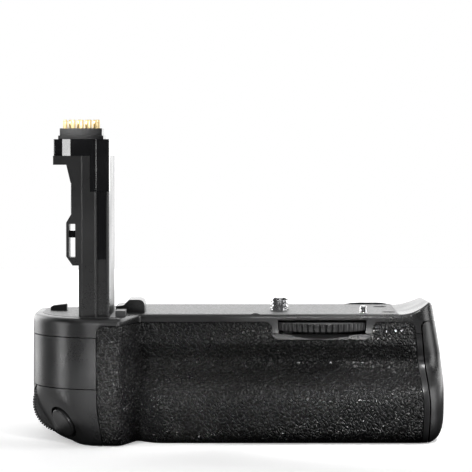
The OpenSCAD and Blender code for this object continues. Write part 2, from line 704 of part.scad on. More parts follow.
// Two rows, the one behind between the places of the one in front
pin_places = concat(
    [for (i = [0 : pins_per_row - 1]) [base_l + 2.1 + i * pin_pitch, tower_f + 7]],
    [for (i = [0 : pins_per_row - 2]) [base_l + 2.1 + (i + 0.5) * pin_pitch, tower_f + 13]]);
module connector_base() color(black_plastic) difference() {
    union() {
        block([base_l, tower_f + 3, head_z], [base_l + base_w, tower_f + 17, head_z + 1.2]);
        block([base_l + 0.5, tower_f + 3.5, head_z + 1.2 - eps],
            [base_l + base_w - 0.5, tower_f + 16.5, head_z + 3.6]);
    }
    for (p = pin_places) translate(p) rod(contact_d / 2 + 0.08, head_z + 0.05, head_z + 9, 32);
}
module contact_pins() color(gold) for (p = pin_places) translate(p) {
    rod(contact_d / 2, head_z + 0.2 + contact_stroke, head_z + 6.2, 32);
    translate([0, 0, head_z + 6.2]) cylinder(r1 = contact_d / 2, r2 = contact_d / 2 - 0.3, h = 0.3, $fn = 32);
}

// Shutter button on its slanted seat
shutter_r = shutter_d / 2;
module shutter_button() color(black_plastic) on_facet() {
    rotate_extrude($fn = 96) polygon([
        [0, -4.4], [1.6, -4.4], [1.6, -2.6], [shutter_r, -2.6], [shutter_r, 0.5], [shutter_r - 0.3, 0.8],
        [shutter_r - 1.2, 0.8], [shutter_r - 2.2, 0.6], [0, 0.5]]);
}
module shutter_sleeve() color(grey_plastic) on_facet() difference() {
    rod(6.4, -4.4, -1.25, 96);
    rod(shutter_r + 0.1, -9, 9, 96);
}
module shutter_switch() color(grey_plastic) on_facet() {
    block([-2.2, -2.2, -8.4], [2.2, 2.2, -6.4]);
    rod(1.2, -6.5, -4.6 - shutter_stroke);
}

module control_dial() color(black_plastic) on_dial() difference() {
    translate([0, 0, -dial_t / 2]) linear_extrude(dial_t) ribbed(dial_r, 0.6, dial_ribs);
    rod(1.06, -9, 9);
}
module dial_axle() color(steel) on_dial() rod(1, -dial_t / 2 - 2, dial_t / 2 + 2.4);

// Rear controls on a bezel that faces back and outwards
module button_panel() color(gloss_black) on_panel() difference() {
    union() {
        pillar([-panel_w / 2, -panel_h / 2, -panel_t], [panel_w / 2, panel_h / 2, 0.4], 2);
        for (x = [-2.6, 2.6], y = [-5.65, 1.85]) translate([x, y, 0]) rod(0.7, glue - 6.2, -panel_t + eps);
    }
    for (y = button_rows) translate([0, -y, 0]) rod(button_r + 0.1, -9, 9);
    pillar([-1.6 - slider_travel / 2, -slider_row - 1.15, -9],
        [1.6 + slider_travel / 2, -slider_row + 1.15, 9], 0.6);
}
module rear_button(row) on_panel() translate([0, -row, 0]) {
    rod(button_r, -panel_t - 1, 0.9);
    translate([0, 0, 0.9]) cylinder(r1 = button_r, r2 = button_r - 0.5, h = 0.4, $fn = 48);
    rod(button_r + 0.6, -panel_t - 1, -panel_t - 0.1);
}
module focus_button() color(black_plastic) rear_button(button_rows[0]);
module lock_button() color(black_plastic) rear_button(button_rows[1]);
module point_button() color(black_plastic) rear_button(button_rows[2]);
module power_slider() color(black_plastic) on_panel() translate([-slider_travel / 2, -slider_row, 0]) {
    block([-1.2, -1, -2.4], [1.2, 1, 1.2]);
    block([-2.6, -1.6, -panel_t - 0.9], [2.6, 1.6, -panel_t - 0.1]);
}
module switch_board() color(green_board) on_panel() {
    block([-2.9, -13, -7.2], [2.9, 13, -6.2]);
    for (y = button_rows) block([-1.6, -y - 1.6, -6.2], [1.6, 1.6 - y, -panel_t - 1.4 - button_stroke]);
    translate([-2.2, -slider_row - 1.5, -6.2]) cube([4.4, 3, 1.8]);
}

module main_board() color(green_board) {
    block([chassis_x - 3.2, -10, 8], [chassis_x - 2, 19, 33.4]);
    block([chassis_x - 4.8, 2, 14], [chassis_x - 3.2, 9, 21]);
    block([chassis_x - 4.6, -7, 24], [chassis_x - 3.2, -2, 29]);
}

// Contacts between the tray and the tunnel's inner end
module chassis_contacts() color(gold) for (y = [-8, 8]) block([chassis_x + 1.2, tray_y + y - 3, 15],
    [chassis_x + 2, tray_y + y + 3, 23]);
module tray_terminals() color(gold) for (y = [-8, 8]) block([tray_start - 0.4, tray_y + y - 3, 14],
    [tray_start, tray_y + y + 3, 24]);

// Tray: a floor, a low rail on each long side, an end wall and a divider between the batteries
module magazine_tray() color(grey_plastic) difference() {
    union() {
        block([tray_start, tray_y - tray_w / 2, tray_z], [tray_end, tray_y + tray_w / 2, tray_z + 1.2]);
        for (y = [tray_y - tray_w / 2, tray_y + tray_w / 2 - 0.6])
            block([tray_start, y, tray_z], [tray_end, y + 0.6, tray_z + tray_h * 0.6]);
        for (x = [tray_start, tray_end - 1.4 - battery_l])
            block([x, tray_y - tray_w / 2, tray_z], [x + 1.2, tray_y + tray_w / 2, tray_z + tray_h]);
    }
    for (x = [tray_start + 16, tray_end - battery_l + 14])
        pillar([x, tray_y - 12, 0], [x + 28, tray_y + 12, tray_z + 3], 4);
}

// End cap, hollowed for the tray's end and slotted for the latch
latch_y = 3;
latch_z = 35;
module magazine_cap() color(black_plastic) difference() {
    moulded() intersection() {
        body_form();
        through(-70, 70) cap_outline(-seam / 2);
    }
    block([0, tray_y - tray_w / 2 - glue, tray_z - glue],
        [tray_end + glue, tray_y + tray_w / 2 + glue, tray_z + tray_h + fit]);
    block([cap_x - 2, -latch_y - fit, latch_z - 2.6], [cap_x + fit, latch_y + fit, 60]);
    block([cap_x - 1, -2 - fit, latch_z - 2.6], [99, 2 + fit, latch_z + latch_travel + 2]);
}
module magazine_latch() color(black_plastic) {
    block([cap_x - 2 + fit, -latch_y, latch_z - 2.5], [cap_x, latch_y, cap_top - 0.5]);
    block([cap_x - eps, -2, latch_z - 2.2], [x_right - lean_shift(latch_z) + 0.6, 2, latch_z + 1.6]);
}

lower_housing();
upper_housing();
control_housing();
base_plate();
top_deck();
front_rubber();
rear_rubber();
chassis();
tripod_bush();
base_screws();
deck_screws();
tower_column();
tower_cap();
tower_strip();
tower_flex();
connector_base();
contact_pins();
door_clip();
deck_hook();
hinge_block();
deck_catch();
locating_pin();
clamp_wheel();
wheel_gear();
wheel_axle();
clamp_screw();
screw_gear();
screw_bush();
shutter_button();
shutter_sleeve();
shutter_switch();
control_dial();
dial_axle();
button_panel();
focus_button();
lock_button();
point_button();
power_slider();
switch_board();
main_board();
chassis_contacts();
magazine_cap();
magazine_tray();
tray_terminals();
magazine_latch();
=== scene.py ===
import json
import math

import bmesh
import bpy
from mathutils import Matrix, Vector


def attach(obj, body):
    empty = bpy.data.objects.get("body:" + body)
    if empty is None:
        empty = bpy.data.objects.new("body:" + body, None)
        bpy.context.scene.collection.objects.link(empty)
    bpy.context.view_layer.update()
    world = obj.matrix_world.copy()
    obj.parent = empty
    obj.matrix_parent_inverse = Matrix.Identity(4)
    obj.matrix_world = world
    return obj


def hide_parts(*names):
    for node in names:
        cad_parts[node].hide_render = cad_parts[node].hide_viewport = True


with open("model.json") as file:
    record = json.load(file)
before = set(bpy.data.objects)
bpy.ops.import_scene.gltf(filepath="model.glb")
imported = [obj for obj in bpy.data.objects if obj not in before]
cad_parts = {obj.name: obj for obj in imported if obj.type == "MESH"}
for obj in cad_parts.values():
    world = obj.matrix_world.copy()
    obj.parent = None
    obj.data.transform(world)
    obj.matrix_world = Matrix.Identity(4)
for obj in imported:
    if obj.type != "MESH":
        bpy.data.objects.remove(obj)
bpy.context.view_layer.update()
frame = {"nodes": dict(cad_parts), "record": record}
nodes = frame["nodes"]
bodyOf = {node: body for body, held in frame["record"]["behaviour"]["bodies"].items() for node in held}
slotOf = {row["node"]: row["material_slot"] for row in frame["record"]["subparts"]}
slotOf["door_clip"] = "gloss_plastic"  # the clip is polished like the tower's head
scene = bpy.context.scene
print("frame loaded:", len(nodes), "nodes")

# camera: the photo looks along +Y from a little above the deck
cameraSet = {"eye": (-0.01498, -0.81785, 0.1016), "pitch": 2.316, "lens": 180.95}
lens = bpy.data.cameras.new("photoCamera")
lens.lens = cameraSet["lens"]
lens.sensor_width = 36
lens.clip_start, lens.clip_end = 0.05, 20
camera = bpy.data.objects.new("photoCamera", lens)
camera.location = cameraSet["eye"]
camera.rotation_euler = (math.radians(90 - cameraSet["pitch"]), 0, 0)
scene.collection.objects.link(camera)
scene.camera = camera


# shader maths: a wire is a socket that can be added, multiplied and so on
class Wire:
    def __init__(self, paint, socket):
        self.paint, self.socket = paint, socket

    def maths(self, operation, a, b):
        return self.paint.add("Math", {"operation": operation}, {0: a, 1: b})

    def __add__(self, other):
        return self.maths("ADD", self, other)

    def __sub__(self, other):
        return self.maths("SUBTRACT", self, other)

    def __rsub__(self, other):
        return self.maths("SUBTRACT", other, self)

    def __mul__(self, other):
        return self.maths("MULTIPLY", self, other)

    __radd__ = __add__
    __rmul__ = __mul__


class Paint:
    def __init__(self, name, fixed):
        self.material = bpy.data.materials.new(name)
        self.material.use_nodes = True
        self.tree = self.material.node_tree
        self.shader = self.tree.nodes["Principled BSDF"]
        for socket, value in fixed.items():
            self.shader.inputs[socket].default_value = value
        place = self.tree.nodes.new("ShaderNodeTexCoord")
        self.place = Wire(self, place.outputs["Object"])

    def add(self, kind, settings, inputs, out=0):
        node = self.tree.nodes.new("ShaderNode" + kind)
        for key, value in settings.items():
            setattr(node, key, value)
        for key, value in inputs.items():
            if isinstance(value, Wire):
                self.tree.links.new(value.socket, node.inputs[key])
            else:
                node.inputs[key].default_value = value
        return Wire(self, node.outputs[out])

    def noise(self, size, detail=3, rough=0.5, place=None):
        return self.add("TexNoise", {}, {"Vector": place or self.place, "Scale": 1 / size,
                                         "Detail": detail, "Roughness": rough})

    def cells(self, size, place=None):
        return self.add("TexVoronoi", {"feature": "DISTANCE_TO_EDGE"},
                        {"Vector": place or self.place, "Scale": 1 / size})

    def ramp(self, value, low, high, start=0.0, end=1.0):
        return self.add("MapRange", {"interpolation_type": "SMOOTHSTEP"},
                        {"Value": value, "From Min": low, "From Max": high, "To Min": start, "To Max": end})

    def blend(self, factor, a, b):
        return self.add("Mix", {"data_type": "RGBA"}, {"Factor": factor, 6: (*a, 1), 7: (*b, 1)}, 2)

    def bump(self, height, depth):
        return self.add("Bump", {}, {"Height": height, "Distance": depth, "Strength": 1.0})

    def wear(self, **links):
        for socket, wire in links.items():
            self.tree.links.new(wire.socket, self.shader.inputs[socket.replace("_", " ")])
        return self.material


# satin moulding: fine etched grain, faint handling marks
satinSet = {"grain": 0.00035, "marks": 0.018, "depth": 0.00003, "shine": 0.32, "spread": 0.05, "fleck": 0.12,
            "dark": (0.012, 0.012, 0.0124), "light": (0.018, 0.018, 0.0185)}
innerSet = {"grain": 0.0005, "marks": 0.018, "depth": 0.00003, "shine": 0.48, "spread": 0.05, "fleck": 0.12,
            "dark": (0.035, 0.035, 0.036), "light": (0.055, 0.055, 0.056)}


def satinPlastic(name, settings):
    paint = Paint(name, {"Specular IOR Level": 0.5})
    grain = paint.noise(settings["grain"], 2, 0.6)
    marks = paint.noise(settings["marks"], 4, 0.6)
    low, high = settings["shine"] - settings["spread"], settings["shine"] + settings["spread"]
    shine = paint.ramp(marks, 0.3, 0.75, low, high) + (grain - 0.5) * settings["fleck"]
    tone = paint.blend(paint.ramp(marks, 0.35, 0.7), settings["dark"], settings["light"])
    return paint.wear(Base_Color=tone, Roughness=shine, Normal=paint.bump(grain, settings["depth"]))


# rubber: raised pebbles with creases between them, as on leathercloth, with painted shade darkening the
# creases
rubberSet = {"pebble": 0.00125, "crease": 0.3, "depth": 0.00045, "sway": 0.0012, "swing": 0.0009,
             "tone": 0.02, "shine": (0.3, 0.22), "dark": (0.004, 0.004, 0.0042),
             "light": (0.006, 0.006, 0.0062)}


def pebbleRubber(name, settings):
    paint = Paint(name, {"Specular IOR Level": 0.5})
    sway = paint.add("TexNoise", {}, {"Vector": paint.place, "Scale": 1 / settings["sway"], "Detail": 2}, 1)
    swayed = paint.add("VectorMath", {"operation": "MULTIPLY_ADD"},
                       {0: sway, 1: (settings["swing"],) * 3, 2: paint.place})
    height = paint.ramp(paint.cells(settings["pebble"], swayed), 0.0, settings["crease"])
    # base colour follows the pebble height: painted shade, darker down in the creases and lighter on the
    # tops, with some random tone mixed in
    tone = height * 0.7 + paint.noise(settings["tone"]) * 0.3
    return paint.wear(Base_Color=paint.blend(tone, settings["dark"], settings["light"]),
                      Roughness=paint.ramp(height, 0, 1, *settings["shine"]),
                      Normal=paint.bump(height, settings["depth"]))


# polished plastic: a faint haze and hair scratches
glossSet = {"haze": 0.012, "hairs": 0.0006, "depth": 0.000004, "shine": (0.07, 0.13),
            "dark": (0.006, 0.006, 0.0065), "light": (0.011, 0.011, 0.012)}


def glossPlastic(name, settings):
    paint = Paint(name, {"Specular IOR Level": 0.5})
    haze = paint.noise(settings["haze"], 4)
    hairs = paint.noise(settings["hairs"], 2)
    return paint.wear(Base_Color=paint.blend(haze, settings["dark"], settings["light"]),
                      Roughness=paint.ramp(haze, 0.3, 0.7, *settings["shine"]),
                      Normal=paint.bump(hairs, settings["depth"]))


# deck lacquer: speckled paint with slow clouds of tone
lacquerSet = {"speck": 0.0009, "cloud": 0.03, "depth": 0.00012, "shine": (0.34, 0.5),
              "dark": (0.028, 0.028, 0.029), "light": (0.042, 0.042, 0.043)}


def lacquer(name, settings):
    paint = Paint(name, {"Specular IOR Level": 0.5})
    speck = paint.noise(settings["speck"], 3, 0.65)
    cloud = paint.noise(settings["cloud"], 4)
    return paint.wear(Base_Color=paint.blend(cloud, settings["dark"], settings["light"]),
                      Roughness=paint.ramp(speck, 0.3, 0.7, *settings["shine"]),
                      Normal=paint.bump(speck, settings["depth"]))


# plated metal: fine lines round the axis and a little cloudiness
platingSet = {"lines": 0.0048, "squeeze": (1, 1, 14), "spots": 0.003, "depth": 0.000006, "spread": (0.7, 1.3)}
steelSet = {"dark": (0.50, 0.50, 0.51), "light": (0.64, 0.64, 0.65), "shine": 0.26, "metal": 1.0}
chromeSet = {"dark": (0.70, 0.70, 0.71), "light": (0.84, 0.84, 0.85), "shine": 0.16, "metal": 0.95}
goldSet = {"dark": (0.80, 0.60, 0.28), "light": (0.92, 0.74, 0.42), "shine": 0.42, "metal": 0.7}


def plating(name, settings, metal):
    paint = Paint(name, {"Metallic": metal["metal"]})
    squeezed = paint.add("Mapping", {}, {"Vector": paint.place, "Scale": settings["squeeze"]})
    lines = paint.noise(settings["lines"], 3, 0.6, squeezed)
    spots = paint.noise(settings["spots"], 4)
    low, high = (metal["shine"] * share for share in settings["spread"])
    return paint.wear(Base_Color=paint.blend(spots, metal["dark"], metal["light"]),
                      Roughness=paint.ramp(lines, 0.3, 0.7, low, high),
                      Normal=paint.bump(lines, settings["depth"]))


# circuit board: green resist with paler lines
boardSet = {"cells": 0.003, "edge": (0.05, 0.12), "depth": 0.00003, "shine": (0.3, 0.42),
            "line": (0.05, 0.22, 0.09), "resist": (0.015, 0.10, 0.04)}


def solderResist(name, settings):
    paint = Paint(name, {"Specular IOR Level": 0.5})
    shade = paint.ramp(paint.cells(settings["cells"]), *settings["edge"])
    return paint.wear(Base_Color=paint.blend(shade, settings["line"], settings["resist"]),
                      Roughness=paint.ramp(shade, 0, 1, *settings["shine"]),
                      Normal=paint.bump(shade, settings["depth"]))


# flat cable: amber film over rows of conductors
filmSet = {"rows": 300.0, "depth": 0.00002, "shine": (0.28, 0.4),
           "dark": (0.45, 0.22, 0.04), "light": (0.6, 0.34, 0.08)}


def amberFilm(name, settings):
    paint = Paint(name, {"Specular IOR Level": 0.5})
    rows = paint.add("TexWave", {"bands_direction": "Y"}, {"Vector": paint.place, "Scale": settings["rows"]})
    return paint.wear(Base_Color=paint.blend(rows, settings["dark"], settings["light"]),
                      Roughness=paint.ramp(rows, 0, 1, *settings["shine"]),
                      Normal=paint.bump(rows, settings["depth"]))


finishes = {
    "housing_plastic": satinPlastic("satinHousing", satinSet),
    "inner_plastic": satinPlastic("innerMoulding", innerSet),
    "grip_rubber": pebbleRubber("pebbleRubber", rubberSet),
    "gloss_plastic": glossPlastic("polishedPlastic", glossSet),
    "deck_paint": lacquer("deckLacquer", lacquerSet),
    "steel": plating("nickelSteel", platingSet, steelSet),
    "chrome": plating("brightChrome", platingSet, chromeSet),
    "gold": plating("goldPlating", platingSet, goldSet),
    "board": solderResist("solderResist", boardSet),
    "flex": amberFilm("amberFilm", filmSet),
}
print("finishes:", len(finishes))


# modelling helpers, all in millimetres
metre = 1000
shapeSet = {"crease": 32, "softSteps": 2, "roundSteps": 8, "mitre": 0.2, "weld": 0.002, "seal": 0.0004,
            "flat": 0.4}


def rounded(bm, edges, radius, segments, clamp=False):
    bmesh.ops.bevel(bm, geom=edges, offset=radius, offset_type="OFFSET", segments=segments, profile=0.5,
                    affect="EDGES", clamp_overlap=clamp, material=-1)


def finished(name, bm, node, soften=0.0, smooth=38):
    if soften:
        crease = math.radians(shapeSet["crease"])
        edges = [e for e in bm.edges if e.is_manifold and e.calc_face_angle(0) > crease]
        rounded(bm, edges, soften, shapeSet["softSteps"], True)
    bmesh.ops.scale(bm, vec=(1 / metre,) * 3, verts=bm.verts)
    mesh = bpy.data.meshes.new(name)
    bm.to_mesh(mesh)
    bm.free()
    mesh.shade_smooth()
    mesh.set_sharp_from_angle(angle=math.radians(smooth))
    mesh.materials.append(finishes[slotOf[node]])
    piece = bpy.data.objects.new(name, mesh)
    scene.collection.objects.link(piece)
    even = piece.modifiers.new("evenShade", "WEIGHTED_NORMAL")
    even.keep_sharp = True
    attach(piece, bodyOf[node])
    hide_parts(node)


def carve(shape, tool, operation="DIFFERENCE"):
    pair = []
    for part in (shape, tool):
        mesh = bpy.data.meshes.new("carving")
        part.to_mesh(mesh)
        part.free()
        pair.append(bpy.data.objects.new("carving", mesh))
        scene.collection.objects.link(pair[-1])
    step = pair[0].modifiers.new("carve", "BOOLEAN")
    step.operation, step.object, step.solver = operation, pair[1], "MANIFOLD"
    result = bmesh.new()
    result.from_object(pair[0], bpy.context.evaluated_depsgraph_get())
    for part in pair:
        mesh = part.data
        bpy.data.objects.remove(part)
        bpy.data.meshes.remove(mesh)
    return result


def turned(bm, place):
    bmesh.ops.transform(bm, matrix=place, verts=bm.verts)
    return bm


def block(low, high):
    bm = bmesh.new()
    size = [b - a for a, b in zip(low, high)]
    middle = [(a + b) / 2 for a, b in zip(low, high)]
    bmesh.ops.create_cube(bm, size=1, matrix=Matrix.Translation(middle) @ Matrix.Diagonal((*size, 1)))
    return bm


def roundBlock(low, high, radius, segments=8):
    bm = block(low, high)
    tall = 0.5 * (high[2] - low[2])
    rounded(bm, [e for e in bm.edges if abs(e.verts[0].co.z - e.verts[1].co.z) > tall], radius, segments)
    return bm


def rod(radius, low, high, place=Matrix(), segments=64):
    bm = bmesh.new()
    at = place @ Matrix.Translation((0, 0, (low + high) / 2))
    bmesh.ops.create_cone(bm, cap_ends=True, segments=segments, radius1=radius, radius2=radius,
                          depth=high - low, matrix=at)
    return bm


# an outline moved outwards by a gap, or inwards where it is negative
def grown(points, gap):
    count = len(points)
    turn = sum(points[i - 1][0] * points[i][1] - points[i][0] * points[i - 1][1] for i in range(count))
    sign = 1 if turn > 0 else -1
    moved = []
    for i in range(count):
        a, b, c = (Vector(points[k % count]) for k in (i - 1, i, i + 1))
        u, v = (b - a).normalized(), (c - b).normalized()
        m = Vector((u.y, -u.x)) * sign
        n = Vector((v.y, -v.x)) * sign
        moved.append(b + (m + n) * (gap / max(shapeSet["mitre"], 1 + m.dot(n))))
    return moved


def drawnOut(points, along):
    bm = bmesh.new()
    face = bm.faces.new([bm.verts.new(point) for point in points])
    made = bmesh.ops.extrude_face_region(bm, geom=[face])["geom"]
    bmesh.ops.translate(bm, vec=along, verts=[v for v in made if isinstance(v, bmesh.types.BMVert)])
    return bm


# a front-view outline run through the grip from y0 to y1
def prism(points, y0, y1, gap=0.0, rounding=0.0):
    bm = drawnOut([(x, y0, z) for x, z in grown(points, gap)], (0, y1 - y0, 0))
    if rounding:
        edges = [e for e in bm.edges if abs(e.verts[0].co.y - e.verts[1].co.y) > 1]
        rounded(bm, edges, rounding, shapeSet["roundSteps"])
    bmesh.ops.recalc_face_normals(bm, faces=bm.faces)
    return bm


# a plan outline raised from z0 to z1
def plate(points, z0, z1):
    bm = drawnOut([(x, y, z0) for x, y in points], (0, 0, z1 - z0))
    bmesh.ops.recalc_face_normals(bm, faces=bm.faces)
    return bm


# a CAD node's own shape with its corners broken
def softCopy(node, soften):
    bm = bmesh.new()
    bm.from_mesh(nodes[node].data)
    bmesh.ops.scale(bm, vec=(metre,) * 3, verts=bm.verts)
    bmesh.ops.remove_doubles(bm, verts=bm.verts, dist=shapeSet["weld"])
    flat = math.radians(shapeSet["flat"])
    bmesh.ops.dissolve_limit(bm, angle_limit=flat, verts=bm.verts, edges=bm.edges)
    first, *rest = node.split("_")
    finished(first + "".join(word.title() for word in rest), bm, node, soften)


# body: the sections of the solids, refined and much closer together
body = {
    "left": -83.8, "right": 55.2, "deckZ": 43.0, "deckLow": 41.4, "rimZ": 42.9, "partZ": 36.4,
    "controlZ": 19.4, "seamZ": 13.0, "leanZ": 25.0, "leanBend": 14.0, "lean": math.tan(math.radians(9.6)),
    "leanSpan": (30, 50), "noseRun": 25.8, "noseFlat": 12.0, "heelRun": 12.0, "heelDrop": 16.0,
    "toeRun": 17.0, "toeRise": 15.0, "crown": 1.2, "shoulder": 4.2, "rearRim": 0.7,
    "rimSpan": (22, 28, 36, 44), "rollEnd": 5.0, "rollRun": 11.0, "hornRound": 1.8, "hornX": 43.0,
    "hornRise": 4.0, "rearHorn": 0.72, "endRun": 9.0, "rearEnd": 0.7, "endFootRun": 6.0, "endFootRise": 7.0,
    "fadeSpan": (42, 52), "ridgeX": -54.5, "valleyX": -46.5, "palmX": -36.0, "palmFront": 33.0,
    "palmZ": 18.0, "valleyFront": 25.0, "channelFront": 18.0, "channelZ": 25.5, "blockFront": 40.0,
    "deckFront": 20.0, "deckRear": 29.5, "deckHeel": 0.5, "deckEndX": 39.9, "slopeX": -62.0,
    "slopeRun": 10.0, "slopeRear": 16.0, "thumb": 3.0, "thumbSpan": (-66, -56, -50, -38), "leftDraw": 16.0,
    "rightDraw": 12.0, "wall": 2.2, "seam": 0.3, "rubber": 1.2, "fit": 0.1, "glue": 0.05,
}
bandZ = body["partZ"] - 3
bandFront = body["deckFront"] + 2
shoulderZ = body["deckLow"] - 6
rearFace = body["deckRear"] + 2
half = body["seam"] / 2
bedInset = body["rubber"] + body["glue"]


def ease(a, b, x):
    t = min(1, max(0, (x - a) / (b - a)))
    return t * t * (3 - 2 * t)


# up one slope and down another, each given by its start and end
def swell(span, x):
    return ease(span[0], span[1], x) * (1 - ease(span[2], span[3], x))


def mix(a, b, t):
    return a + (b - a) * t


# how far a quarter circle has fallen at t
def drop(t):
    return 1 - math.sqrt(max(0, 1 - min(1, max(0, t)) ** 2))


def heelFall(x):
    return body["heelDrop"] * drop((body["left"] + body["heelRun"] - x) / body["heelRun"])


def endFall(x):
    return body["endRun"] * drop((x - body["right"] + body["endRun"]) / body["endRun"])


def footRise(x):
    return (body["toeRise"] * drop((body["left"] + body["toeRun"] - x) / body["toeRun"])
            + body["endFootRise"] * drop((x - body["right"] + body["endFootRun"]) / body["endFootRun"]))


def crownFall(x):
    return (body["crown"] * drop((body["left"] + body["crown"] - x) / body["crown"])
            + body["hornRound"] * drop((x - body["right"] + body["hornRound"]) / body["hornRound"]))


def blockShare(x):
    return 1 - ease(body["ridgeX"], body["valleyX"], x)


def frontY(x, flank, draft):
    nose = 1 - drop((body["left"] + body["noseRun"] - x) / body["noseRun"])
    front = body["noseFlat"] + (body["blockFront"] - body["noseFlat"]) * nose
    return mix(flank, front - draft, blockShare(x)) - endFall(x)


def hornZ(x):
    if x < body["hornX"]:
        return 0
    return body["hornRise"] * min(1, (x - body["hornX"]) / (body["right"] - 1 - body["hornX"])) ** 2


def rearY(x):
    return rearFace - heelFall(x) - endFall(x) * body["rearEnd"]


def deckRearY(x):
    slope = 1 - ease(body["slopeX"], body["slopeX"] + body["slopeRun"], x)
    flat = mix(body["deckRear"] + 1, body["slopeRear"], slope)
    return flat - heelFall(x) * body["deckHeel"] - endFall(x) * body["rearEnd"]


def thumbY(x):
    return body["thumb"] * swell(body["thumbSpan"], x)


def leanShift(z):
    t = max(0, z - body["leanZ"] + body["leanBend"] / 2)
    return body["lean"] * (t * t / 2 / body["leanBend"] if t < body["leanBend"] else t - body["leanBend"] / 2)


# bends of one section, from the front rim down and round to the rear rim
bendSet = {
    "rimOut": 0.8, "rimDraft": 1.5, "rimRound": 1.2,
    "lipOut": 1.1, "lipDraft": 1.1, "lipUp": 4.6, "lipRound": 1.8,
    "bandOut": 0.5, "bandDraft": 0.8, "bandRound": 1.6, "bandEndIn": 1.7, "bandEndRound": 4.0,
    "channelDraft": 0.2, "channelEndOut": 1.6, "channelRound": 6.0, "palmRound": 6.5,
    "footIn": 1.5, "footDraft": 0.8, "footRound": 7.0, "heelRound": 5.0, "thumbRound": 8.0,
    "backRound": 4.0, "rearRound": 2.0, "longest": 0.45, "steepest": 2.6, "reach": 0.3,
}


# how much thicker a wall is along Y where the front runs aslant
def stretch(x):
    rise = frontY(x + bendSet["reach"], bandFront, 0) - frontY(x - bendSet["reach"], bandFront, 0)
    return min(bendSet["steepest"], math.hypot(1, rise / (2 * bendSet["reach"])))


def section(x, d, steps, flank):
    df = d * stretch(x)
    top = body["rimZ"] + hornZ(x) - crownFall(x)
    rearTop = body["rimZ"] + hornZ(x) * body["rearHorn"] - crownFall(x)
    rearTop += body["rearRim"] * swell(body["rimSpan"], x)
    low = footRise(x) + d
    roll = 1 - min(1, max(0, (body["palmX"] - x) / (body["palmX"] - body["valleyX"] + 2))) ** 3
    rollFall = body["rollEnd"] * drop((x - body["right"] + body["rollRun"]) / body["rollRun"])
    palm = mix(body["valleyFront"], body["palmFront"], roll) - rollFall
    fade = ease(*body["fadeSpan"], x)
    band = bandFront + bendSet["bandOut"] - bendSet["bandEndIn"] * fade
    channel = body["channelFront"] + bendSet["channelEndOut"] * fade
    rim, lip = body["deckFront"] + bendSet["rimOut"], body["deckFront"] + bendSet["lipOut"]
    rimRound = mix(bendSet["rimRound"], body["shoulder"], blockShare(x))
    bandRound = bendSet["bandRound"] + bendSet["bandEndRound"] * fade
    corners = [
        (df - frontY(x, rim, bendSet["rimDraft"]), top, rimRound),
        (df - frontY(x, lip, bendSet["lipDraft"]), bandZ + bendSet["lipUp"], bendSet["lipRound"]),
        (df - frontY(x, band, bendSet["bandDraft"]), bandZ, bandRound),
        (df - frontY(x, channel, bendSet["channelDraft"]), body["channelZ"], bendSet["channelRound"]),
        (df - frontY(x, palm, 0), body["palmZ"], bendSet["palmRound"]),
        (df - frontY(x, palm - bendSet["footIn"], bendSet["footDraft"]), low, bendSet["footRound"]),
        (rearY(x) - d, low, bendSet["heelRound"]),
        (rearY(x) + thumbY(x) - d, mix(low, shoulderZ, 0.5), bendSet["thumbRound"]),
        (rearY(x) - d, shoulderZ, bendSet["backRound"]),
        (deckRearY(x) - d, rearTop, bendSet["rearRound"]),
    ]
    bends = []
    for i, (y, z, back) in enumerate(corners):
        here = Vector((y, z))
        before = Vector(corners[i - 1][:2]) - here
        after = Vector(corners[(i + 1) % len(corners)][:2]) - here
        start = here + before * min(bendSet["longest"], back / before.length)
        end = here + after * min(bendSet["longest"], back / after.length)
        ts = [k / steps for k in range(steps + 1)]
        bends.append([start * (1 - t) ** 2 + here * (2 * t * (1 - t)) + end * t * t for t in ts])
    points = []
    for i, bend in enumerate(bends):
        onward = bends[(i + 1) % len(bends)][0]
        points += bend + [bend[-1].lerp(onward, k / flank) for k in range(1, flank)]
    return points


# stations along X: close together at the nose, the valley and the horn
loftSet = {"fine": {"nose": 26, "step": 0.6, "ends": 20, "bend": 8, "flank": 6},
           "coarse": {"nose": 9, "step": 2.7, "ends": 7, "bend": 3, "flank": 1}}
middleX = [-31 + 3 * i for i in range(22)] + [34, 36, 38, 40, 41.5, 43]


def stations(grade):
    nose, step, ends = grade["nose"], grade["step"], grade["ends"]
    run = body["right"] - body["hornX"] - 1
    xs = [body["left"] + body["noseRun"] * (1 - math.cos(math.pi / 2 * i / nose)) for i in range(nose + 1)]
    xs += [body["ridgeX"] + step * i for i in range(int((body["palmX"] + 2 - body["ridgeX"]) / step) + 1)]
    xs += middleX
    xs += [body["right"] - run * (1 - math.cos(math.pi / 2 * i / ends)) for i in range(ends, -1, -1)]
    return xs


# slanted flat under the shutter button, run softly into the nose
facetSet = {"spot": (-72.4, -30.0, 7.6), "turn": 216.5, "tilt": 118.8, "blend": 2.0, "reachX": -50.0}
facetAt = (Matrix.Translation(facetSet["spot"]) @ Matrix.Rotation(math.radians(facetSet["turn"]), 4, "Z")
           @ Matrix.Rotation(math.radians(facetSet["tilt"]), 4, "Y"))
facetOut = facetAt.to_3x3() @ Vector((0, 0, 1))


def facetCut(spot):
    over = (spot - Vector(facetSet["spot"])).dot(facetOut)
    blend = facetSet["blend"]
    if over <= -blend or spot.x > facetSet["reachX"]:
        return spot
    return spot - facetOut * (over if over > blend else (over + blend) ** 2 / 4 / blend)


lofts = {}


